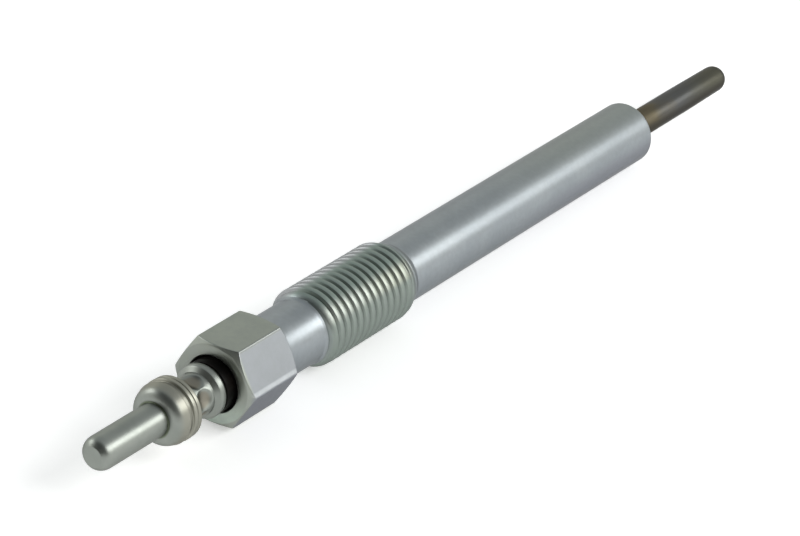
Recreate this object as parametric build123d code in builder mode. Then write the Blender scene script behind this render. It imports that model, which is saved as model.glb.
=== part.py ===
from build123d import *
import os
from math import cos, pi, radians, sin, tan

# A diesel glow plug, lying on a flat of its hexagon. All sizes are millimetres.
# The plug's axis is the X axis, with the plug-on terminal towards -X and the heater tip towards +X.
# The origin is on the axis, halfway along the crests of the body thread. Rear means the terminal's
# side and front the heater's side. +Z is up.

# Body thread, drawn as a plain cylinder at its crests with a taper at each end
thread_radius = 5.0
thread_crest_length = 15.2
thread_rear_taper = 1.8
thread_front_taper = 2.2

# Hexagon and the smooth neck between it and the thread
hex_across_flats = 10.0
hex_length = 9.0
hex_rear_land_radius = 4.75
hex_front_land_radius = 4.95
hex_chamfer_angle = 30.0
round_section_angle = 31.0
neck_radius = 4.1
neck_length = 7.3

# Shank and sealing nose
shank_radius = 4.05
shank_length = 53.3
shank_edge_chamfer = 0.3
nose_half_angle = 31.0
nose_face_radius = 2.6

# Bore of the housing
mouth_radius = 3.45
mouth_countersink = 0.15
main_bore_radius = 2.6
bore_shoulder_angle = 45.0
press_length = 18.5

# Heater tube
tube_radius = 1.82
tube_wall = 0.42
tube_exposed_length = 22.2
tube_tail_in_bore = 2.4
tip_radius = 1.755
tip_taper_length = 8.0
tip_wall = 0.8
tip_bore_chamfer = 0.35

# Centre rod
rod_radius = 1.6
rod_end_chamfer = 0.3
rod_front_radius = 0.95
rod_shoulder_before_tube = 2.0
rod_length_in_tube = 20.5
spigot_radius = 0.62
spigot_length = 2.2

# Coils
wire_radius = 0.18
wire_sides = 6
coil_steps_per_turn = 14
regulating_turns = 8
regulating_pitch = 1.45
heating_turns = 6
heating_pitch = 0.85
coil_clearance = 0.02

# Seals and insulating bush
tube_seal_length = 2.5
body_seal_length = 1.7
bush_clearance = 0.05
bush_collar_radius = 3.25
bush_standout = 1.4
bush_stem_length = 4.0

# Plug-on terminal: pin
pin_radius = 2.1
pin_length = 10.9
pin_tip_face_radius = 1.15
pin_tip_edge_radius = 1.75
pin_tip_edge_length = 0.45
pin_tip_length = 1.5

# Plug-on terminal: grooved head
head_face_radius = 3.05
head_edge_radius = 3.36
head_edge_length = 0.32
crown_radius = 3.87
crown_length = 2.1
groove_depth = 0.25
groove_width = 0.6
rear_ridge_radius = 4.0
rear_ridge_width = 0.6
front_ridge_radius = 3.92
front_ridge_width = 0.6
ridge_chamfer = 0.15
hairline_depth = 0.12
hairline_width = 0.1

# Plug-on terminal: crimped neck and flange
crimp_neck_radius = 2.65
crimp_neck_length = 3.7
crimp_count = 6
crimp_punch_radius = 1.9
crimp_depth = 0.55
crimp_from_head = 2.2
crimp_first_angle = 41.0
flange_radius = 3.3
flange_width = 1.35
flange_flare = 0.4
flange_chamfer = 0.3
cap_bore_length = 7.4
rod_end_gap = 0.3

# Places along the axis, worked out from the thread outwards
thread_rear = -thread_crest_length / 2
thread_front = thread_crest_length / 2
neck_front = thread_rear - thread_rear_taper
hex_front = neck_front - neck_length
hex_rear = hex_front - hex_length
shank_rear = thread_front + thread_front_taper
shank_front = shank_rear + shank_length
nose_slope = tan(radians(nose_half_angle))
nose_edge_radius = shank_radius - shank_edge_chamfer
nose_rear = shank_front + shank_edge_chamfer
nose_front = nose_rear + (nose_edge_radius - nose_face_radius) / nose_slope

flange_front = hex_rear - bush_standout
flange_rear = flange_front - flange_width
crimp_neck_front = flange_rear - flange_flare
head_front = crimp_neck_front - crimp_neck_length
front_ridge_rear = head_front - front_ridge_width
rear_ridge_front = front_ridge_rear - hairline_width
rear_ridge_rear = rear_ridge_front - rear_ridge_width
crown_front = rear_ridge_rear - groove_width
head_rear = crown_front - crown_length
pin_tip = head_rear - pin_length
cap_bore_end = flange_front - cap_bore_length

shoulder_slope = tan(radians(bore_shoulder_angle))
bush_front = hex_rear + bush_stem_length
shoulder_rear = bush_front + body_seal_length
shoulder_front = shoulder_rear + (mouth_radius - main_bore_radius) / shoulder_slope
press_rear = nose_front - press_length
press_taper_rear = press_rear - (main_bore_radius - tube_radius) / shoulder_slope

tube_rear = press_rear - tube_tail_in_bore
tip_front = nose_front + tube_exposed_length
tip_centre = tip_front - tip_radius
tip_taper_rear = tip_centre - tip_taper_length
tube_bore_radius = tube_radius - tube_wall
tube_bore_end = tip_front - tip_wall

tube_seal_front = tube_rear + tube_seal_length
rod_rear = cap_bore_end + rod_end_gap
rod_shoulder = tube_rear - rod_shoulder_before_tube
rod_taper_rear = rod_shoulder - (rod_radius - rod_front_radius)
spigot_rear = tube_rear + rod_length_in_tube
spigot_front = spigot_rear + spigot_length

coil_radius = spigot_radius + coil_clearance + wire_radius
coil_pocket_radius = coil_radius + wire_radius + coil_clearance
regulating_rear = spigot_rear + wire_radius + coil_clearance
regulating_front = regulating_rear + regulating_turns * regulating_pitch
heating_front = regulating_front + heating_turns * heating_pitch
coil_pocket_front = heating_front + wire_radius + coil_clearance


def coil_points(rear, turns, pitch):
    """Points along the middle of a coil's wire, from its rear end forwards."""
    points = []
    for step in range(turns * coil_steps_per_turn + 1):
        turned = step / coil_steps_per_turn
        angle = 2 * pi * turned
        points.append((rear + pitch * turned, coil_radius * sin(angle), coil_radius * cos(angle)))
    return points


# Housing
hex_corner_radius = hex_across_flats / 2 / cos(radians(30))
hex_chamfer_slope = tan(radians(hex_chamfer_angle))
rear_chamfer_length = (hex_corner_radius - hex_rear_land_radius) * hex_chamfer_slope
front_chamfer_length = (hex_corner_radius - hex_front_land_radius) * hex_chamfer_slope
# Section that the round outlines are drawn on, turned from the middle of the hexagon's upper flat
round_section = Plane.XZ.rotated((round_section_angle, 0, 0))
with BuildPart() as housing:
    with BuildSketch(Plane.YZ.offset(hex_rear)):
        RegularPolygon(hex_across_flats / 2, 6, major_radius=False)
    extrude(amount=hex_length)
    # The turned chamfers at both ends of the hexagon
    with BuildSketch(round_section):
        with BuildLine():
            Polyline(
                (hex_rear, 0),
                (hex_rear, hex_rear_land_radius),
                (hex_rear + rear_chamfer_length, hex_corner_radius),
                (hex_front - front_chamfer_length, hex_corner_radius),
                (hex_front, hex_front_land_radius),
                (hex_front, 0),
                close=True,
            )
        make_face()
    revolve(axis=Axis.X, mode=Mode.INTERSECT)
    # Neck, thread crests, shank and nose
    with BuildSketch(round_section):
        with BuildLine():
            Polyline(
                (hex_front, 0),
                (hex_front, neck_radius),
                (neck_front, neck_radius),
                (thread_rear, thread_radius),
                (thread_front, thread_radius),
                (shank_rear, shank_radius),
                (shank_front, shank_radius),
                (nose_rear, nose_edge_radius),
                (nose_front, nose_face_radius),
                (nose_front, 0),
                close=True,
            )
        make_face()
    revolve(axis=Axis.X)
    # Stepped bore, with its mouth in the hexagon and its press fit for the tube in the nose
    with BuildSketch(round_section):
        with BuildLine():
            Polyline(
                (hex_rear, 0),
                (hex_rear, mouth_radius + mouth_countersink),
                (hex_rear + mouth_countersink, mouth_radius),
                (shoulder_rear, mouth_radius),
                (shoulder_front, main_bore_radius),
                (press_taper_rear, main_bore_radius),
                (press_rear, tube_radius),
                (nose_front, tube_radius),
                (nose_front, 0),
                close=True,
            )
        make_face()
    revolve(axis=Axis.X, mode=Mode.SUBTRACT)

# Heater tube, pressed into the front of the housing
with BuildPart() as heater_tube:
    with BuildSketch(Plane.XZ):
        with BuildLine():
            side = Polyline(
                (tube_rear, 0),
                (tube_rear, tube_radius),
                (tip_taper_rear, tube_radius),
                (tip_centre, tip_radius),
            )
            dome = CenterArc((tip_centre, 0), tip_radius, 90, -90)
            Line(dome @ 1, side @ 0)
        make_face()
    revolve(axis=Axis.X)
    with BuildSketch(Plane.XZ):
        with BuildLine():
            Polyline(
                (tube_rear, 0),
                (tube_rear, tube_bore_radius),
                (tube_bore_end - tip_bore_chamfer, tube_bore_radius),
                (tube_bore_end, tube_bore_radius - tip_bore_chamfer),
                (tube_bore_end, 0),
                close=True,
            )
        make_face()
    revolve(axis=Axis.X, mode=Mode.SUBTRACT)

# Centre rod, from inside the terminal to the coils
with BuildPart() as centre_rod:
    with BuildSketch(Plane.XZ):
        with BuildLine():
            Polyline(
                (rod_rear, 0),
                (rod_rear, rod_radius - rod_end_chamfer),
                (rod_rear + rod_end_chamfer, rod_radius),
                (rod_taper_rear, rod_radius),
                (rod_shoulder, rod_front_radius),
                (spigot_rear, rod_front_radius),
                (spigot_rear, spigot_radius),
                (spigot_front, spigot_radius),
                (spigot_front, 0),
                close=True,
            )
        make_face()
    revolve(axis=Axis.X)

# Regulating coil, wound on the rod's spigot
with BuildPart() as regulating_coil:
    with BuildLine() as regulating_path:
        Polyline(*coil_points(regulating_rear, regulating_turns, regulating_pitch))
    with BuildSketch(Plane(regulating_path.line @ 0, x_dir=(1, 0, 0), z_dir=regulating_path.line % 0)):
        RegularPolygon(wire_radius, wire_sides)
    sweep(path=regulating_path.line, transition=Transition.RIGHT)

# Heating coil, which goes on where the regulating coil ends, and its tail to the tube's tip
with BuildPart() as heating_coil:
    with BuildLine() as heating_path:
        Polyline(*coil_points(regulating_front, heating_turns, heating_pitch))
    with BuildSketch(Plane(heating_path.line @ 0, x_dir=(1, 0, 0), z_dir=heating_path.line % 0)):
        RegularPolygon(wire_radius, wire_sides)
    sweep(path=heating_path.line, transition=Transition.RIGHT)
    with BuildSketch(Plane(heating_path.line @ 1, z_dir=(1, 0, 0))):
        RegularPolygon(wire_radius, wire_sides)
    extrude(amount=tube_bore_end - heating_front)

# Rubber sleeve in the rear end of the heater tube
with BuildPart() as tube_seal:
    with BuildSketch(Plane.YZ.offset(tube_rear)):
        Circle(tube_bore_radius)
        Circle(rod_front_radius, mode=Mode.SUBTRACT)
    extrude(amount=tube_seal_length)

# Packed powder between the rod, the coils and the tube. The coils lie in a ring-shaped space in it.
with BuildPart() as magnesia_fill:
    with BuildSketch(Plane.XZ):
        with BuildLine():
            Polyline(
                (tube_seal_front, rod_front_radius),
                (tube_seal_front, tube_bore_radius),
                (tube_bore_end - tip_bore_chamfer, tube_bore_radius),
                (tube_bore_end, tube_bore_radius - tip_bore_chamfer),
                (tube_bore_end, 0),
                (coil_pocket_front, 0),
                (spigot_front, 0),
                (spigot_front, spigot_radius),
                (coil_pocket_front, spigot_radius),
                (coil_pocket_front, coil_pocket_radius),
                (spigot_rear, coil_pocket_radius),
                (spigot_rear, rod_front_radius),
                close=True,
            )
        make_face()
    revolve(axis=Axis.X)
    with BuildSketch(Plane(heating_path.line @ 1, z_dir=(1, 0, 0))):
        Circle(wire_radius + coil_clearance / 2)
    extrude(amount=tube_bore_end - heating_front, mode=Mode.SUBTRACT)

# Rubber ring under the bush, squeezed against the rod, the bore and its shoulder
with BuildPart() as body_seal:
    with BuildSketch(Plane.XZ):
        with BuildLine():
            Polyline(
                (bush_front, rod_radius),
                (bush_front, mouth_radius),
                (shoulder_rear, mouth_radius),
                (shoulder_front, main_bore_radius),
                (shoulder_front, rod_radius),
                close=True,
            )
        make_face()
    revolve(axis=Axis.X)

# Insulating bush
bush_stem_radius = mouth_radius - bush_clearance
bush_bore_radius = rod_radius + bush_clearance
with BuildPart() as insulating_bush:
    with BuildSketch(Plane.XZ):
        with BuildLine():
            Polyline(
                (flange_front, bush_bore_radius),
                (flange_front, bush_collar_radius),
                (hex_rear, bush_collar_radius),
                (hex_rear + mouth_countersink, bush_stem_radius),
                (bush_front, bush_stem_radius),
                (bush_front, bush_bore_radius),
                close=True,
            )
        make_face()
    revolve(axis=Axis.X)

# Plug-on terminal, crimped on the rod
groove_radius = crown_radius - groove_depth
hairline_radius = front_ridge_radius - hairline_depth
hairline_middle = rear_ridge_front + hairline_width / 2
crimp_centre = head_front + crimp_from_head
with BuildPart() as terminal_cap:
    with BuildSketch(Plane.XZ):
        with BuildLine():
            Polyline(
                (pin_tip, 0),
                (pin_tip, pin_tip_face_radius),
                (pin_tip + pin_tip_edge_length, pin_tip_edge_radius),
                (pin_tip + pin_tip_length, pin_radius),
                (head_rear, pin_radius),
                (head_rear, head_face_radius),
                (head_rear + head_edge_length, head_edge_radius),
                (crown_front, crown_radius),
                (crown_front, groove_radius),
                (rear_ridge_rear, groove_radius),
                (rear_ridge_rear, rear_ridge_radius - ridge_chamfer),
                (rear_ridge_rear + ridge_chamfer, rear_ridge_radius),
                (rear_ridge_front, rear_ridge_radius),
                (hairline_middle, hairline_radius),
                (front_ridge_rear, front_ridge_radius),
                (head_front - ridge_chamfer, front_ridge_radius),
                (head_front, front_ridge_radius - ridge_chamfer),
                (head_front, crimp_neck_radius),
                (crimp_neck_front, crimp_neck_radius),
                (flange_rear, flange_radius - flange_chamfer),
                (flange_rear + flange_chamfer, flange_radius),
                (flange_front - flange_chamfer, flange_radius),
                (flange_front, flange_radius - flange_chamfer),
                (flange_front, 0),
                close=True,
            )
        make_face()
    revolve(axis=Axis.X)
    with Locations(Plane.YZ.offset(crimp_centre)):
        with PolarLocations(
            crimp_neck_radius - crimp_depth + crimp_punch_radius, crimp_count, start_angle=crimp_first_angle
        ):
            Sphere(crimp_punch_radius, mode=Mode.SUBTRACT)
    with BuildSketch(Plane.YZ.offset(cap_bore_end)):
        Circle(rod_radius)
    extrude(amount=cap_bore_length, mode=Mode.SUBTRACT)

pieces = {
    "housing": housing.part,
    "heater_tube": heater_tube.part,
    "centre_rod": centre_rod.part,
    "regulating_coil": regulating_coil.part,
    "heating_coil": heating_coil.part,
    "tube_seal": tube_seal.part,
    "magnesia_fill": magnesia_fill.part,
    "body_seal": body_seal.part,
    "insulating_bush": insulating_bush.part,
    "terminal_cap": terminal_cap.part,
}
os.makedirs("parts", exist_ok=True)
for name, piece in pieces.items():
    piece.label = name
    export_step(piece, f"parts/{name}.step")
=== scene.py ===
import math

import bmesh
import bpy
from mathutils import Matrix, Vector


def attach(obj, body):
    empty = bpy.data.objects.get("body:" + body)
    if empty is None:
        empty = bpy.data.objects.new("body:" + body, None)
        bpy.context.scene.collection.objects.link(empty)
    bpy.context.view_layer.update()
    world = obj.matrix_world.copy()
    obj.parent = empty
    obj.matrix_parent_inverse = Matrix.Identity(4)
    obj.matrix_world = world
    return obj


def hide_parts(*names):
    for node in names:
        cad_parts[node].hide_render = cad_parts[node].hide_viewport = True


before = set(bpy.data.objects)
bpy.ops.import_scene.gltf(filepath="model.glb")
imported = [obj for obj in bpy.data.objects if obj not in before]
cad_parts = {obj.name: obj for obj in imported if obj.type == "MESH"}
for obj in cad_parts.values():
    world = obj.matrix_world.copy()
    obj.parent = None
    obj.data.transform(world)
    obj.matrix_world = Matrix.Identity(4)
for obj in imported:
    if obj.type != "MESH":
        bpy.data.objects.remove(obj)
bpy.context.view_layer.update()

# Sizes are in millimetres: x along the plug's axis, which is the X axis, and r out from it
MM = 0.001
COS_30 = math.cos(math.radians(30))

# Hexagon, with its turned chamfers and the mouth in its rear face
HEX_REAR, HEX_FRONT, HEX_HALF = -25.7, -16.7, 5.0
REAR_LAND_R, FRONT_LAND_R = 4.75, 4.93
CHAMFER_SLOPE = math.tan(math.radians(30))
CORNER_ROUND, EDGE = 0.22, 0.07
MOUTH_R, MOUTH_BEVEL = 3.45, 0.15

# Neck and body thread. The edges of its roots and crests are measured from the middle of a crest.
NECK_R, NECK_FRONT = 4.1, -9.4
THREAD_R, THREAD_REAR, THREAD_FRONT = 5.0, -7.6, 7.6
PITCH = 1.25
ROOT_R, ROOT_EDGE = 4.58, 0.59
CREST_EDGE_R, CREST_EDGE = 4.935, 0.38

# Shank, nose and bore
SHANK_R, SHANK_REAR, SHANK_FRONT = 4.05, 9.8, 63.35
NOSE_R, NOSE_FRONT = 2.6, 65.314
BORE_R, SHOULDER_REAR, SHOULDER_FRONT = 2.6, -20.0, -18.85
PRESS_LENGTH = 18.5
# The housing's profile folds back on itself between the shoulder and here, hidden inside the metal
FOLD_X = -17.0

# Heater tube
TUBE_R, TUBE_BORE_R, TUBE_REAR = 1.82, 1.4, 44.414
TIP_R, TIP_FRONT, TIP_TAPER_LENGTH = 1.755, 87.514, 8.0
TIP_WALL, TIP_BEVEL = 0.8, 0.35

# Terminal: pin, grooved head, crimped neck and flange
PIN_TIP, PIN_R, PIN_END_LENGTH = -47.45, 2.07, 1.5
HEAD_REAR, HEAD_FRONT = -36.55, -32.55
CROWN_R, RIDGE_R, COLLAR_R, GROOVE_R, NICK_R = 3.85, 3.86, 3.83, 3.55, 3.68
CAP_NECK_R, CAP_NECK_START, CAP_NECK_END = 2.65, HEAD_FRONT + 0.3, -28.85
FLANGE_REAR, FLANGE_FRONT, FLANGE_R = -28.45, -27.1, 3.32
CAP_BORE_R, CAP_BORE_LENGTH = 1.6, 7.4

# Round punches that crimp the neck
CRIMP_COUNT, CRIMP_X, CRIMP_FIRST = 6, -30.35, math.radians(41)
PUNCH_R, CRIMP_DEPTH, CRIMP_RIM = 1.9, 0.52, 0.07

# Insulating bush
BUSH_BORE_R, BUSH_COLLAR_R, BUSH_STEM_R = 1.65, 3.25, 3.4
BUSH_TAPER_LENGTH, BUSH_STEM_LENGTH = 0.55, 4.0

# Fineness of the meshes. Distances to weld are in metres.
CURVE_STEPS, CRIMPED_ROWS = 14, 72
ON_AXIS_R = 1e-6
WELD, BODY_WELD, BODY_DEGENERATE = 2e-7, 2e-6, 1e-7


# Outlines
def fillet(outline, steps=6):
    """Rounds the corners of an outline of (x, r, radius) points."""
    most_of_side = 0.49
    points = []
    for i, (x, r, radius) in enumerate(outline):
        here = Vector((x, r))
        if radius == 0 or i in (0, len(outline) - 1):
            points.append((x, r))
            continue
        before = Vector(outline[i - 1][:2]) - here
        after = Vector(outline[i + 1][:2]) - here
        opening = before.angle(after)
        wanted = radius / math.tan(opening / 2)
        reach = min(wanted, most_of_side * before.length, most_of_side * after.length)
        size = reach * math.tan(opening / 2)
        middle = (before.normalized() + after.normalized()).normalized()
        centre = here + middle * (size / math.sin(opening / 2))
        first = here + before.normalized() * reach - centre
        last = here + after.normalized() * reach - centre
        for k in range(steps + 1):
            spoke = first.slerp(last, k / steps).normalized() * size
            points.append((centre.x + spoke.x, centre.y + spoke.y))
    return points


def curve(a, b, c, d):
    """Points along a cubic curve from a to d, with b and c as its handles."""
    points = []
    for k in range(CURVE_STEPS + 1):
        t = k / CURVE_STEPS
        weights = ((1 - t) ** 3, 3 * t * (1 - t) ** 2, 3 * t * t * (1 - t), t**3)
        points.append(tuple(sum(w * p[i] for w, p in zip(weights, (a, b, c, d))) for i in (0, 1)))
    return points


def sharp_corners(points):
    """The same points as corners that aren't rounded."""
    return [(x, r, 0) for x, r in points]


# Meshes made of rings
def even_angles(count):
    return [2 * math.pi * i / count for i in range(count)]


def same_all_round(points, count):
    """One row for each point, the same at every angle."""
    return [[point] * count for point in points]


def point_at(x, r, angle):
    """A point in metres, at an angle round the axis."""
    return x * MM, r * math.cos(angle) * MM, r * math.sin(angle) * MM


def finished(name, mesh, data, sharp):
    """Puts the mesh in the scene, smooth apart from edges sharper than the angle in degrees."""
    bmesh.ops.recalc_face_normals(mesh, faces=mesh.faces)
    mesh.to_mesh(data)
    mesh.free()
    data.shade_smooth()
    data.set_sharp_from_angle(angle=math.radians(sharp))
    piece = bpy.data.objects.new(name, data)
    bpy.context.scene.collection.objects.link(piece)
    return piece


def ring_mesh(name, rows, angles, closed=False, sharp=35):
    """A piece through rows of rings. Each row holds one (x, r) for each angle."""
    mesh = bmesh.new()
    grid = []
    for row in rows:
        if max(r for _, r in row) < ON_AXIS_R:
            tip = mesh.verts.new((row[0][0] * MM, 0, 0))
            grid.append([tip] * len(angles))
            continue
        grid.append([mesh.verts.new(point_at(x, r, a)) for (x, r), a in zip(row, angles)])
    for i in range(len(grid) if closed else len(grid) - 1):
        here, ahead = grid[i], grid[(i + 1) % len(grid)]
        for j in range(len(angles)):
            k = (j + 1) % len(angles)
            corners = []
            for vert in (here[j], ahead[j], ahead[k], here[k]):
                if vert not in corners:
                    corners.append(vert)
            if len(corners) > 2:
                mesh.faces.new(corners)
    bmesh.ops.remove_doubles(mesh, verts=mesh.verts, dist=WELD)
    return finished(name, mesh, bpy.data.meshes.new(name), sharp)


def turned(name, outline, count, closed=False):
    """A turned piece from an outline of (x, r, corner radius) points."""
    return ring_mesh(name, same_all_round(fillet(outline), count), even_angles(count), closed=closed)


# Hexagon
def hex_angles():
    """Angles round the hexagon, closer together at its corners."""
    near_corner = [0, 0.45, 0.9, 1.3, 1.8]
    last, flat_steps = near_corner[-1], 11
    offsets = near_corner + [last + i * (30 - last) / flat_steps for i in range(1, flat_steps)]
    sector = [-o for o in reversed(offsets[1:])] + offsets + [30]
    return [math.radians(60 * k + o) for k in range(6) for o in sector]


def hex_radius(angle):
    """Radius of the hexagon's outline with slightly rounded corners."""
    off = abs((math.degrees(angle) + 30) % 60 - 30)
    centre = (HEX_HALF - CORNER_ROUND) / COS_30
    reach = math.degrees(math.atan2(CORNER_ROUND / 2, centre + CORNER_ROUND * COS_30))
    if off >= reach:
        return HEX_HALF / math.cos(math.radians(30 - off))
    a = math.radians(off)
    return centre * math.cos(a) + math.sqrt(CORNER_ROUND**2 - (centre * math.sin(a)) ** 2)


BODY_ANGLES = hex_angles()
COLUMNS = len(BODY_ANGLES)
HEX_R = [hex_radius(a) for a in BODY_ANGLES]


def chamfer_rows(face_x, land, inward):
    """Rows over one chamfer, from its land to the flats. inward is +1 at the rear and -1 in front."""
    on_chamfer, before_edge, after_edge = (0.0, 0.35, 0.7), 0.03, 0.04
    middle_on, middle_back = 0.018, 0.022
    rows = []
    for share in on_chamfer:
        rises = [share * (r - EDGE * 2 - land) for r in HEX_R]
        rows.append([(face_x + inward * rise * CHAMFER_SLOPE, land + rise) for rise in rises])
    for back in (EDGE + before_edge, EDGE * COS_30):
        rows.append([(face_x + inward * (r - back - land) * CHAMFER_SLOPE, r - back) for r in HEX_R])
    for on, back in ((middle_on, middle_back), (EDGE, 0.0), (EDGE + after_edge, 0.0)):
        rows.append([(face_x + inward * ((r - land) * CHAMFER_SLOPE + on), r - back) for r in HEX_R])
    return rows


def hex_rows():
    """Rows from the rear land, over the turned chamfers and the flats, to the front land."""
    rear = chamfer_rows(HEX_REAR, REAR_LAND_R, 1)
    front = chamfer_rows(HEX_FRONT, FRONT_LAND_R, -1)
    middle = [[(HEX_REAR + f * (HEX_FRONT - HEX_REAR), r) for r in HEX_R] for f in (0.25, 0.5, 0.75)]
    return rear + middle + front[::-1]


# Body thread. One turn of its form: distance from the crest's middle, radius and corner radius.
FLANK = [
    (-PITCH / 2, ROOT_R, 0),
    (-ROOT_EDGE, ROOT_R, 0.06),
    (-CREST_EDGE, CREST_EDGE_R, 0.16),
    (0.0, THREAD_R, 1.6),
]
THREAD_FORM = fillet(FLANK + [(-x, r, radius) for x, r, radius in FLANK[-2::-1]], steps=3)[:-1]
# The grooves grow shallower over these lengths, up to the run-outs at the two ends
REAR_FADE_LENGTH, FRONT_FADE_LENGTH = 0.15, 4.2
RUN_OUT_REAR, RUN_OUT_FRONT = NECK_FRONT + 0.38, SHANK_REAR - 0.25


def smooth_radius(x):
    """Radius of the neck or the shank, whichever is at that end of the thread."""
    return NECK_R if x < 0 else SHANK_R


def envelope(x):
    """The largest radius that the thread may have, with its tapers at both ends."""
    rear = NECK_R + (THREAD_R - NECK_R) * (x - NECK_FRONT) / (THREAD_REAR - NECK_FRONT)
    front = SHANK_R + (THREAD_R - SHANK_R) * (SHANK_REAR - x) / (SHANK_REAR - THREAD_FRONT)
    return max(smooth_radius(x), min(rear, front, THREAD_R))


def thread_point(x, r):
    """A point of the thread, kept between the run-outs, with the groove's depth faded."""
    x = min(max(x, RUN_OUT_REAR), RUN_OUT_FRONT)
    share = min(1.0, (RUN_OUT_FRONT - x) / FRONT_FADE_LENGTH, (x - RUN_OUT_REAR) / REAR_FADE_LENGTH)
    return x, max(smooth_radius(x), envelope(x) - (THREAD_R - r) * share)


def thread_rows():
    """Rows that follow the right-handed thread, clamped to rings at its two ends."""
    rows = []
    first = math.floor(RUN_OUT_REAR / PITCH) - 2
    last = math.ceil(RUN_OUT_FRONT / PITCH) + 2
    for turn in range(first, last):
        for off, r in THREAD_FORM:
            rows.append([thread_point(PITCH * (turn + a / (2 * math.pi)) + off, r) for a in BODY_ANGLES])
    return rows


# Housing
def ring_part(rows, seam=0):
    """Points and faces through rows of rings, to be joined with others.
    seam is the number of rows by which the last column runs ahead of the first."""
    points = [point_at(x, r, a) for row in rows for (x, r), a in zip(row, BODY_ANGLES)]
    faces = []
    for i in range(len(rows) - 1):
        for j in range(COLUMNS):
            k = (j + 1) % COLUMNS
            ahead = i + (seam if j == COLUMNS - 1 else 0)
            if ahead + 1 < len(rows):
                corners = ((i, j), (i + 1, j), (ahead + 1, k), (ahead, k))
                faces.append(tuple(row * COLUMNS + column for row, column in corners))
    return points, faces


def join_parts(name, parts, sharp):
    """One piece from lists of points and faces whose end rings lie on each other."""
    points, faces = [], []
    for part_points, part_faces in parts:
        start = len(points)
        points += part_points
        faces += [tuple(start + i for i in face) for face in part_faces]
    data = bpy.data.meshes.new(name)
    data.from_pydata(points, [], faces)
    mesh = bmesh.new()
    mesh.from_mesh(data)
    bmesh.ops.remove_doubles(mesh, verts=mesh.verts, dist=BODY_WELD)
    bmesh.ops.dissolve_degenerate(mesh, edges=mesh.edges, dist=BODY_DEGENERATE)
    return finished(name, mesh, data, sharp)


def build_housing():
    """The outside from the mouth to the nose, and the bore back to the mouth."""
    fold = (FOLD_X, MOUTH_R)
    thread_start = (RUN_OUT_REAR, envelope(RUN_OUT_REAR))
    thread_end = (RUN_OUT_FRONT, envelope(RUN_OUT_FRONT))
    rear_face = fillet(
        [
            (*fold, 0),
            (HEX_REAR + MOUTH_BEVEL, MOUTH_R, 0.05),
            (HEX_REAR, MOUTH_R + MOUTH_BEVEL, 0.05),
            (HEX_REAR, REAR_LAND_R, 0),
        ]
    )[:-1]
    neck = fillet(
        [
            (HEX_FRONT, FRONT_LAND_R, 0),
            (HEX_FRONT, NECK_R, 0.35),
            (NECK_FRONT, NECK_R, 1.2),
            (*thread_start, 0),
        ]
    )[1:-1]
    press_rear = NOSE_FRONT - PRESS_LENGTH
    shank = fillet(
        [
            (*thread_end, 0),
            (SHANK_REAR, SHANK_R, 0.8),
            (SHANK_FRONT, SHANK_R, 0.35),
            (NOSE_FRONT, NOSE_R, 0.15),
            (NOSE_FRONT, TUBE_R, 0),
            (press_rear, TUBE_R, 0),
            (press_rear - (BORE_R - TUBE_R), BORE_R, 0),
            (SHOULDER_FRONT, BORE_R, 0),
            (SHOULDER_REAR, MOUTH_R, 0),
        ]
    )[1:]
    # The thread shares the rings at its run-outs with the neck and the shank
    behind = same_all_round(rear_face, COLUMNS) + hex_rows()
    behind += same_all_round(neck + [thread_start], COLUMNS)
    ahead = same_all_round([thread_end] + shank + [fold], COLUMNS)
    parts = [ring_part(behind), ring_part(thread_rows(), seam=len(THREAD_FORM)), ring_part(ahead)]
    return join_parts("plug_body", parts, sharp=38)


# Terminal
def crimped(x, r, angle):
    """The radius left by the round punches round the terminal's neck, with rounded rims."""
    step = 2 * math.pi / CRIMP_COUNT
    off = (angle - CRIMP_FIRST + step / 2) % step - step / 2
    distance = math.hypot(x - CRIMP_X, CAP_NECK_R * math.sin(off))
    depth = math.sqrt(max(PUNCH_R**2 - distance**2, 0.0)) - (PUNCH_R - CRIMP_DEPTH)
    return r - (depth + math.hypot(depth, CRIMP_RIM)) / 2


def head_outline():
    """The pin's side, the domed rear of the head, its wide groove, its ridge and its narrow nick."""
    dome = curve((HEAD_REAR, 2.2), (HEAD_REAR + 0.08, 2.85), (-36.15, 3.44), (-35.3, 3.64))
    return [
        (PIN_TIP + PIN_END_LENGTH, PIN_R, 0),
        (HEAD_REAR, PIN_R, 0.1),
        *sharp_corners(dome),
        (-34.62, CROWN_R, 0.2),
        (-34.48, GROOVE_R, 0.14),
        (-33.93, GROOVE_R, 0.1),
        (-33.83, RIDGE_R, 0.16),
        (-33.28, RIDGE_R, 0.14),
        (-33.22, NICK_R, 0),
        (-33.15, COLLAR_R, 0.12),
        (HEAD_FRONT, COLLAR_R, 0.18),
        (HEAD_FRONT, CAP_NECK_R, 0.12),
        (CAP_NECK_START, CAP_NECK_R, 0),
    ]


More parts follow.
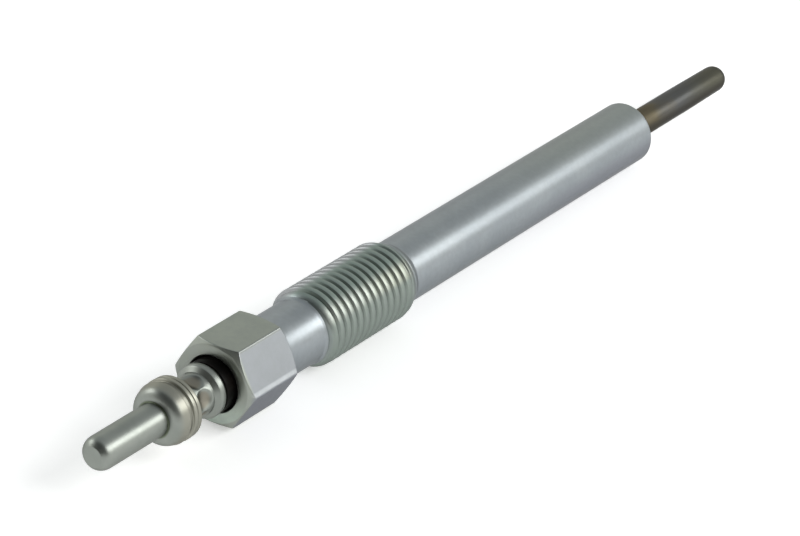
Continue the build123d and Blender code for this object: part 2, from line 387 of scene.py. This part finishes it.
def build_terminal():
    count = 240
    angles = even_angles(count)
    pin_end = curve(
        (PIN_TIP, 1.28),
        (PIN_TIP + 0.22, 1.55),
        (PIN_TIP + 0.5, 2.04),
        (PIN_TIP + PIN_END_LENGTH, PIN_R),
    )
    end_face = [(PIN_TIP, 0.0), (PIN_TIP, 0.6), (PIN_TIP, 1.26)]
    rows = same_all_round(end_face + pin_end + fillet(head_outline())[1:], count)
    start, end = CAP_NECK_START, CAP_NECK_END + 0.1
    for k in range(1, CRIMPED_ROWS + 1):
        x = start + (end - start) * k / CRIMPED_ROWS
        rows.append([(x, crimped(x, CAP_NECK_R, a)) for a in angles])
    front = fillet(
        [
            (end, CAP_NECK_R, 0),
            (CAP_NECK_END + 0.15, CAP_NECK_R, 0.15),
            (FLANGE_REAR + 0.15, 3.2, 0.3),
            (FLANGE_REAR + 0.45, FLANGE_R, 0.3),
            (FLANGE_FRONT - 0.4, FLANGE_R, 0.35),
            (FLANGE_FRONT, 3.05, 0.15),
            (FLANGE_FRONT, CAP_BORE_R, 0),
            (FLANGE_FRONT - CAP_BORE_LENGTH, CAP_BORE_R, 0),
            (FLANGE_FRONT - CAP_BORE_LENGTH, 0.0, 0),
        ]
    )
    rows += same_all_round(front[1:], count)
    return ring_mesh("terminal", rows, angles, sharp=32)


# Bush and heater tube
def build_bush():
    outline = [
        (FLANGE_FRONT, BUSH_BORE_R, 0),
        (FLANGE_FRONT, BUSH_COLLAR_R, 0.12),
        (HEX_REAR, BUSH_COLLAR_R, 0.1),
        (HEX_REAR + BUSH_TAPER_LENGTH, BUSH_STEM_R, 0.05),
        (HEX_REAR + BUSH_STEM_LENGTH, BUSH_STEM_R, 0),
        (HEX_REAR + BUSH_STEM_LENGTH, BUSH_BORE_R, 0),
    ]
    return turned("bush", outline, count=144, closed=True)


def build_heater():
    """The tube, from the middle of its inner end back along its bore, and forward over its domed tip."""
    turns = [math.pi / 2 * k / CURVE_STEPS for k in range(CURVE_STEPS + 1)]
    dome = [(TIP_FRONT - TIP_R + TIP_R * math.sin(t), TIP_R * math.cos(t)) for t in turns]
    outline = [
        (TIP_FRONT - TIP_WALL, 0.0, 0),
        (TIP_FRONT - TIP_WALL, TUBE_BORE_R - TIP_BEVEL, 0),
        (TIP_FRONT - TIP_WALL - TIP_BEVEL, TUBE_BORE_R, 0),
        (TUBE_REAR, TUBE_BORE_R, 0),
        (TUBE_REAR, TUBE_R, 0),
        (TIP_FRONT - TIP_R - TIP_TAPER_LENGTH, TUBE_R, 0),
        *sharp_corners(dome),
    ]
    return turned("heater", outline, count=96)


# Pieces, with the solid that each replaces and its material slot
plug_body = build_housing()
terminal = build_terminal()
bush = build_bush()
heater = build_heater()

SLOTS = {
    plug_body: ("housing", "plated_steel"),
    terminal: ("terminal_cap", "bright_terminal"),
    bush: ("insulating_bush", "black_plastic"),
    heater: ("heater_tube", "heat_tinted_steel"),
}
for piece, (node, slot) in SLOTS.items():
    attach(piece, "root")
    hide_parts(node)


# Materials
def rgb(r, g, b):
    return (r, g, b, 1.0)


class Nodes:
    """Short calls for the nodes of a material or a world."""

    def __init__(self, owner):
        owner.use_nodes = True
        self.tree = owner.node_tree

    def add(self, kind, **inputs):
        node = self.tree.nodes.new(kind)
        for key, value in inputs.items():
            self.set(node.inputs[key.replace("_", " ")], value)
        return node

    def set(self, socket, value):
        """Links the socket to another node's output, or gives it a plain value."""
        if isinstance(value, bpy.types.NodeSocket):
            self.tree.links.new(value, socket)
        else:
            socket.default_value = value

    def math(self, operation, a, b=0.0, c=0.0):
        node = self.tree.nodes.new("ShaderNodeMath")
        node.operation = operation
        for socket, value in zip(node.inputs, (a, b, c)):
            self.set(socket, value)
        return node.outputs[0]

    def product(self, value, *others):
        for other in others:
            value = self.math("MULTIPLY", value, other)
        return value

    def span(self, value, low, high, to_low=0.0, to_high=1.0):
        """Goes smoothly from to_low to to_high while the value goes from low to high."""
        node = self.add("ShaderNodeMapRange", Value=value)
        node.interpolation_type = "SMOOTHSTEP"
        for key, number in (("From Min", low), ("From Max", high), ("To Min", to_low), ("To Max", to_high)):
            node.inputs[key].default_value = number
        return node.outputs["Result"]

    def rise(self, value, low, high):
        """From 0 to 1 over a stretch in millimetres."""
        return self.span(value, low * MM, high * MM)

    def fall(self, value, low, high, start=1.0):
        """From start to 0 over a stretch in millimetres."""
        return self.span(value, low * MM, high * MM, start, 0.0)

    def mix(self, share, a, b):
        node = self.tree.nodes.new("ShaderNodeMix")
        node.data_type = "RGBA"
        self.set(node.inputs["Factor"], share)
        self.set(node.inputs["A"], a)
        self.set(node.inputs["B"], b)
        return node.outputs["Result"]


class Surface(Nodes):
    """A material with a Principled shader, patterned in the plug's own coordinates."""

    def __init__(self, name):
        self.material = bpy.data.materials.new(name)
        super().__init__(self.material)
        self.shader = self.tree.nodes["Principled BSDF"]
        self.place = self.add("ShaderNodeTexCoord").outputs["Object"]

    def along(self, axis):
        """Distance along an axis, in metres."""
        return self.add("ShaderNodeSeparateXYZ", Vector=self.place).outputs[axis]

    def side(self):
        """Y plus Z, in metres: positive on the upper +Y side and negative on the lower -Y side."""
        return self.math("ADD", self.along("Y"), self.along("Z"))

    def from_axis(self):
        """Distance from the plug's axis, in metres."""
        across = self.math("POWER", self.along("Y"), 2.0)
        up = self.math("POWER", self.along("Z"), 2.0)
        return self.math("SQRT", self.math("ADD", across, up))

    def noise(self, scale, detail=3.0, where=None):
        node = self.add("ShaderNodeTexNoise", Vector=where or self.place, Scale=scale, Detail=detail)
        node.inputs["Roughness"].default_value = 0.55
        return node.outputs["Fac"]

    def streaks(self, along, across, detail=3.0):
        """Noise with one scale along the plug's axis and another across it."""
        node = self.add("ShaderNodeMapping", Vector=self.place, Scale=(along, across, across))
        return self.noise(1.0, detail, node.outputs["Vector"])

    def uneven(self, scale, amount, base):
        """Noise that adds up to the amount to a base value."""
        return self.math("MULTIPLY_ADD", self.noise(scale), amount, base)

    def turning_marks(self, spacing):
        """Fine rings round the axis, uneven in depth. The spacing is in millimetres."""
        drift = self.product(self.noise(900.0, detail=2.0), 3.0)
        wave = self.math("MULTIPLY_ADD", self.along("X"), 2 * math.pi / (spacing * MM), drift)
        rings = self.streaks(4200.0, 60.0, detail=2.0)
        return self.math("MULTIPLY_ADD", self.math("SINE", wave), 0.35, rings)

    def bump(self, height, distance):
        """Relief from a height, with its full depth in millimetres."""
        node = self.add("ShaderNodeBump", Height=height, Distance=distance * MM, Strength=1.0)
        self.shade(Normal=node.outputs["Normal"])

    def shade(self, **inputs):
        for key, value in inputs.items():
            self.set(self.shader.inputs[key.replace("_", " ")], value)


def metal(name):
    nodes = Surface(name)
    nodes.shade(Metallic=1.0, Specular_Tint=rgb(0.5, 0.5, 0.5))
    return nodes


def shank_colour(nodes, patches):
    """Bluish grey. The far half is tinted greenish on its upper side and purplish on its lower side, as
    painted reflection.
    """
    x, side = nodes.along("X"), nodes.side()
    grey, pale_grey = rgb(0.29, 0.315, 0.335), rgb(0.315, 0.34, 0.358)
    greenish, lower_reflection_purplish = rgb(0.298, 0.322, 0.315), rgb(0.292, 0.305, 0.335)
    far = nodes.rise(x, 25.0, 50.0)
    colour = nodes.mix(patches, grey, pale_grey)
    # Painted reflection tints on the far half: greenish on the upper side, purplish on the lower side
    colour = nodes.mix(nodes.product(far, nodes.rise(side, -0.5, 3.0)), colour, greenish)
    return nodes.mix(nodes.product(far, nodes.fall(side, -4.5, -2.5)), colour, lower_reflection_purplish)


def thread_colour(nodes):
    """Greenish, yellower towards the shank, with painted light and shade in bands round the thread:
    teal-green painted shade on the upper and the lower side, a pale grey painted highlight along the top,
    and the yellower tint kept as a painted highlight in the middle band.
    """
    x, side = nodes.along("X"), nodes.side()
    greenish, highlight_yellow = rgb(0.29, 0.315, 0.282), rgb(0.29, 0.309, 0.258)
    upper_shade_green, lower_shade_green = rgb(0.255, 0.31, 0.28), rgb(0.243, 0.28, 0.252)
    top_highlight_grey = rgb(0.34, 0.35, 0.36)
    colour = nodes.mix(nodes.rise(x, -3.0, 6.0), greenish, highlight_yellow)
    # Painted shade on the upper and lower sides and a painted highlight along the top; the middle band
    # keeps the yellower painted highlight tint
    colour = nodes.mix(nodes.rise(side, 0.2, 2.2), colour, upper_shade_green)
    colour = nodes.mix(nodes.rise(side, 5.4, 6.4), colour, top_highlight_grey)
    return nodes.mix(nodes.fall(side, -2.6, -1.3), colour, lower_shade_green)


def hexagon_colour(nodes, patches):
    """Greenish, with painted reflection on the two flats that face -Y: bluish, the lower one darker as
    painted shade. The rear face is painted lighter towards its bottom, as painted reflection.
    """
    x, y, z = nodes.along("X"), nodes.along("Y"), nodes.along("Z")
    greenish, pale_greenish = rgb(0.30, 0.322, 0.288), rgb(0.32, 0.342, 0.303)
    lower_flat_shade_blue, upper_flat_reflection_blue = rgb(0.236, 0.250, 0.286), rgb(0.272, 0.286, 0.302)
    painted_edge_highlight, painted_edge_shade = rgb(0.41, 0.43, 0.45), rgb(0.24, 0.252, 0.243)
    face_reflection_low, face_high = rgb(0.38, 0.44, 0.385), rgb(0.252, 0.27, 0.238)
    # Painted reflection on the two flats that face -Y: bluish, with painted shade on the lower one
    bluish = nodes.product(nodes.fall(y, -3.1, -2.85), nodes.rise(x, -25.5, -25.0))
    flats = nodes.mix(nodes.rise(z, -0.3, 0.3), lower_flat_shade_blue, upper_flat_reflection_blue)
    # The upper of these flats has a painted highlight along its lower edge and painted shade along its
    # upper one
    lower_edge = nodes.product(nodes.rise(z, 0.10, 0.24), nodes.fall(z, 0.46, 0.70))
    upper_edge = nodes.product(nodes.rise(y, -3.08, -3.0), nodes.fall(y, -2.86, -2.78))
    upper_edge = nodes.product(upper_edge, nodes.rise(z, 4.7, 4.8))
    flats = nodes.mix(lower_edge, flats, painted_edge_highlight)
    colour = nodes.mix(bluish, nodes.mix(patches, greenish, pale_greenish), flats)
    colour = nodes.mix(upper_edge, colour, painted_edge_shade)
    # Painted reflection on the rear face: lighter towards its bottom
    rear_face = nodes.mix(nodes.rise(z, -4.5, 0.5), face_reflection_low, face_high)
    return nodes.mix(nodes.fall(x, -25.66, -25.58), colour, rear_face)


def plated_material():
    nodes = metal("dull zinc plating")
    x = nodes.along("X")
    dark_specks = rgb(0.24, 0.255, 0.255)
    in_thread = nodes.product(nodes.rise(x, -9.4, -8.2), nodes.fall(x, 6.8, 10.0))
    in_hexagon = nodes.fall(x, -17.2, -16.4)
    patches = nodes.span(nodes.noise(180.0, detail=4.0), 0.35, 0.65)
    specks = nodes.span(nodes.noise(1500.0), 0.3, 0.7)
    colour = nodes.mix(in_thread, shank_colour(nodes, patches), thread_colour(nodes))
    colour = nodes.mix(in_hexagon, colour, hexagon_colour(nodes, patches))
    colour = nodes.mix(nodes.product(specks, 0.25), colour, dark_specks)
    rough = nodes.math("MULTIPLY_ADD", in_thread, 0.06, nodes.uneven(700.0, 0.14, 0.26))
    nodes.shade(Base_Color=colour, Roughness=rough)
    nodes.bump(nodes.turning_marks(0.16), 0.0011)
    return nodes.material


def terminal_material():
    nodes = metal("bright zinc plating")
    x, from_axis = nodes.along("X"), nodes.from_axis()
    dark, light, warm = rgb(0.25, 0.268, 0.245), rgb(0.28, 0.297, 0.273), rgb(0.288, 0.283, 0.238)
    root_dark, hollow_shade = rgb(0.085, 0.105, 0.06), rgb(0.20, 0.175, 0.135)
    patches = nodes.span(nodes.noise(260.0, detail=4.0), 0.35, 0.65)
    colour = nodes.mix(patches, dark, light)
    # The grooved head is a little warmer in colour than the pin
    head = nodes.product(nodes.rise(x, -36.2, -35.2), nodes.fall(x, -32.6, -32.3, start=0.85))
    colour = nodes.mix(head, colour, warm)
    # Darker green-brown in the corner at the pin's root
    at_root = nodes.product(nodes.rise(x, -36.78, -36.6), nodes.fall(from_axis, 2.14, 2.4))
    at_root = nodes.product(at_root, nodes.fall(x, -36.5, -36.4), 0.8)
    colour = nodes.mix(at_root, colour, root_dark)
    # Painted shade in the hollows of the punch marks, darker and brownish
    in_marks = nodes.product(nodes.fall(from_axis, 2.3, 2.58), nodes.rise(x, -32.4, -32.0))
    in_marks = nodes.product(in_marks, nodes.fall(x, -29.2, -28.8), 0.7)
    colour = nodes.mix(in_marks, colour, hollow_shade)
    nodes.shade(Base_Color=colour, Roughness=nodes.uneven(900.0, 0.12, 0.295))
    nodes.bump(nodes.turning_marks(0.12), 0.0007)
    return nodes.material


def bush_material():
    nodes = Surface("black moulded plastic")
    mottled = nodes.span(nodes.noise(500.0, detail=4.0), 0.35, 0.7)
    colour = nodes.mix(mottled, rgb(0.003, 0.0028, 0.0026), rgb(0.008, 0.0062, 0.0055))
    nodes.shade(Base_Color=colour, Roughness=nodes.uneven(1800.0, 0.2, 0.28), Specular_IOR_Level=0.07)
    nodes.bump(nodes.noise(3000.0), 0.004)
    return nodes.material


def heater_material():
    nodes = metal("heat-tinted steel")
    x = nodes.along("X")
    golden, bluish, brownish = rgb(0.133, 0.115, 0.078), rgb(0.112, 0.114, 0.115), rgb(0.105, 0.103, 0.082)
    dark_tip, underside_shade, streaked = rgb(0.055, 0.054, 0.05), rgb(0.06, 0.057, 0.049), rgb(0.07, 0.066, 0.057)
    # The borders of the tint wander along the tube
    cloud = nodes.math("MULTIPLY_ADD", nodes.noise(260.0, detail=4.0), 8.0 * MM, x)
    colour = nodes.mix(nodes.rise(cloud, 72.5, 78.0), golden, bluish)
    colour = nodes.mix(nodes.rise(cloud, 79.0, 88.0), colour, brownish)
    # Darker over the domed tip
    colour = nodes.mix(nodes.rise(x, 85.2, 87.2), colour, dark_tip)
    # Painted shade: the lower side is darker
    colour = nodes.mix(nodes.fall(nodes.side(), -1.8, -0.7, start=0.75), colour, underside_shade)
    streaks = nodes.product(nodes.span(nodes.streaks(120.0, 1500.0), 0.3, 0.7), 0.35)
    colour = nodes.mix(streaks, colour, streaked)
    # Duller near the nose
    base = nodes.span(x, 66.5 * MM, 70.5 * MM, 0.44, 0.23)
    nodes.shade(Base_Color=colour, Roughness=nodes.uneven(1200.0, 0.16, base))
    nodes.bump(nodes.streaks(300.0, 2500.0), 0.0006)
    return nodes.material


def inner_material(name, low, high, roughness, metallic=0.0):
    """A material for the pieces inside, mottled between two colours."""
    grain = 1200.0
    nodes = Surface(name)
    share = nodes.span(nodes.noise(grain, detail=4.0), 0.3, 0.7)
    nodes.shade(
        Metallic=metallic,
        Base_Color=nodes.mix(share, rgb(*low), rgb(*high)),
        Roughness=nodes.uneven(grain * 1.7, 0.15, roughness),
    )
    nodes.bump(nodes.noise(grain * 2.0), 0.003)
    return nodes.material


plug_body.data.materials.append(plated_material())
terminal.data.materials.append(terminal_material())
bush.data.materials.append(bush_material())
heater.data.materials.append(heater_material())

rod = inner_material("drawn steel", (0.42, 0.42, 0.42), (0.52, 0.52, 0.51), 0.28, metallic=1.0)
wire = inner_material("resistance wire", (0.3, 0.28, 0.26), (0.42, 0.4, 0.37), 0.32, metallic=1.0)
powder = inner_material("packed powder", (0.78, 0.77, 0.73), (0.88, 0.87, 0.84), 0.75)
rubber = inner_material("black rubber", (0.012, 0.012, 0.012), (0.03, 0.03, 0.03), 0.5)
INNER = {
    "centre_rod": rod,
    "regulating_coil": wire,
    "heating_coil": wire,
    "magnesia_fill": powder,
    "tube_seal": rubber,
    "body_seal": rubber,
}
for node, material in INNER.items():
    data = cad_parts[node].data
    data.materials.clear()
    data.materials.append(material)

# Floor. The plug is drawn level. It really rests on the front edges of the thread and the shank, so the
# floor falls a little towards the terminal, by as much as the plug would tip.
FLOOR_HALF_M = 3.0
SHANK_EDGE_X = 62.8
FLOOR_SLOPE = (THREAD_R - SHANK_R) / (SHANK_EDGE_X - THREAD_FRONT)


def floor_material():
    """White paper. What the camera and the metal see of it is lifted to white and keeps the shadow."""
    material = bpy.data.materials.new("white paper")
    nodes = Nodes(material)
    nodes.tree.nodes.clear()
    rays = nodes.add("ShaderNodeLightPath").outputs
    seen = nodes.math("MAXIMUM", rays["Is Camera Ray"], rays["Is Glossy Ray"])
    seen = nodes.math("MAXIMUM", seen, rays["Is Transmission Ray"])
    paper = nodes.add("ShaderNodeBsdfDiffuse", Color=rgb(0.8, 0.8, 0.8))
    shown = nodes.add("ShaderNodeBsdfDiffuse", Color=rgb(0.94, 0.94, 0.94))
    glow = nodes.add("ShaderNodeEmission", Strength=0.37)
    both = nodes.add("ShaderNodeAddShader")
    nodes.set(both.inputs[0], shown.outputs[0])
    nodes.set(both.inputs[1], glow.outputs[0])
    choose = nodes.add("ShaderNodeMixShader", Fac=seen)
    nodes.set(choose.inputs[1], paper.outputs[0])
    nodes.set(choose.inputs[2], both.outputs[0])
    nodes.add("ShaderNodeOutputMaterial", Surface=choose.outputs[0])
    return material


def build_floor():
    half = FLOOR_HALF_M
    corners = []
    for x, y in ((-half, -half), (half, -half), (half, half), (-half, half)):
        corners.append((x, y, -THREAD_R * MM + (x - THREAD_FRONT * MM) * FLOOR_SLOPE))
    mesh = bpy.data.meshes.new("floor")
    mesh.from_pydata(corners, [], [(0, 1, 2, 3)])
    mesh.materials.append(floor_material())
    piece = bpy.data.objects.new("floor", mesh)
    bpy.context.scene.collection.objects.link(piece)
    return piece


floor = build_floor()


# Light. The places and sizes of the lamps are in metres.
def facing(place, right, up, back):
    """The matrix of a lamp or a camera at a place, from its own three axes."""
    return Matrix.Translation(place) @ Matrix((right, up, back)).transposed().to_4x4()


def softbox(name, place, target, length, width, radiance):
    """A rectangular lamp of even brightness that faces the target, its length along the plug."""
    lamp = bpy.data.lights.new(name, "AREA")
    lamp.shape = "RECTANGLE"
    lamp.size, lamp.size_y = length, width
    lamp.energy = radiance * math.pi * length * width
    box = bpy.data.objects.new(name, lamp)
    back = (Vector(place) - Vector(target)).normalized()
    side = Vector((1, 0, 0))
    side = (side - side.dot(back) * back).normalized()
    box.matrix_world = facing(place, side, back.cross(side), back)
    bpy.context.scene.collection.objects.link(box)


def build_world():
    """A pale room, much darker overhead, with a dim end above and behind the camera."""
    world = bpy.data.worlds.new("studio")
    bpy.context.scene.world = world
    nodes = Nodes(world)
    place = nodes.add("ShaderNodeTexCoord").outputs["Generated"]
    direction = nodes.add("ShaderNodeSeparateXYZ", Vector=place).outputs
    height = nodes.add("ShaderNodeValToRGB", Fac=direction["Z"])
    horizon, overhead = height.color_ramp.elements
    horizon.position, horizon.color = 0.0, rgb(0.96, 0.96, 0.94)
    overhead.position, overhead.color = 0.70, rgb(0.50, 0.525, 0.535)
    height.color_ramp.elements.new(0.46).color = rgb(0.93, 0.95, 0.90)
    dim_end = nodes.product(
        nodes.span(direction["X"], -0.30, 0.0, 0.94, 0.0),
        nodes.span(direction["Z"], 0.04, 0.16),
        nodes.span(direction["Y"], 0.4, 0.72, 1.0, 0.0),
    )
    background = nodes.tree.nodes["Background"]
    nodes.set(background.inputs["Color"], height.outputs["Color"])
    nodes.set(background.inputs["Strength"], nodes.math("SUBTRACT", 1.1, dim_end))


build_world()
softbox("front strip", (0.34, -0.474, 0.368), (0.34, 0, 0), length=0.84, width=0.31, radiance=3.55)
softbox("rear softbox", (-0.22, 0.70, 0.42), (0.0, 0, 0), length=0.45, width=0.35, radiance=2.3)

# Camera, fitted to the photo. The pivot and the distance are in metres, and the image's width, centre and
# principal point are in pixels of the photo's 800 by 536 frame.
PIVOT, DISTANCE = Vector((0.0116, 0.0, 0.0)), 0.4766
FORWARD = Vector((0.7490, 0.4685, -0.4685)).normalized()
NEARLY_RIGHT = Vector((0.5658, -0.8203, 0.0839))
SENSOR_WIDTH, LENS, CLIP_START = 36.0, 178.65, 0.01
IMAGE_WIDTH, CENTRE_X, CENTRE_Y = 800, 400.0, 268.0
PRINCIPAL_X, PRINCIPAL_Y = 398.9, 270.15


def build_camera():
    data = bpy.data.cameras.new("camera")
    data.sensor_width, data.lens, data.clip_start = SENSOR_WIDTH, LENS, CLIP_START
    data.shift_x = (CENTRE_X - PRINCIPAL_X) / IMAGE_WIDTH
    data.shift_y = (PRINCIPAL_Y - CENTRE_Y) / IMAGE_WIDTH
    camera = bpy.data.objects.new("camera", data)
    bpy.context.scene.collection.objects.link(camera)
    right = (NEARLY_RIGHT - NEARLY_RIGHT.dot(FORWARD) * FORWARD).normalized()
    camera.matrix_world = facing(PIVOT - FORWARD * DISTANCE, right, right.cross(FORWARD), -FORWARD)
    return camera


bpy.context.scene.camera = build_camera()
bpy.context.scene.view_settings.view_transform = "Standard"
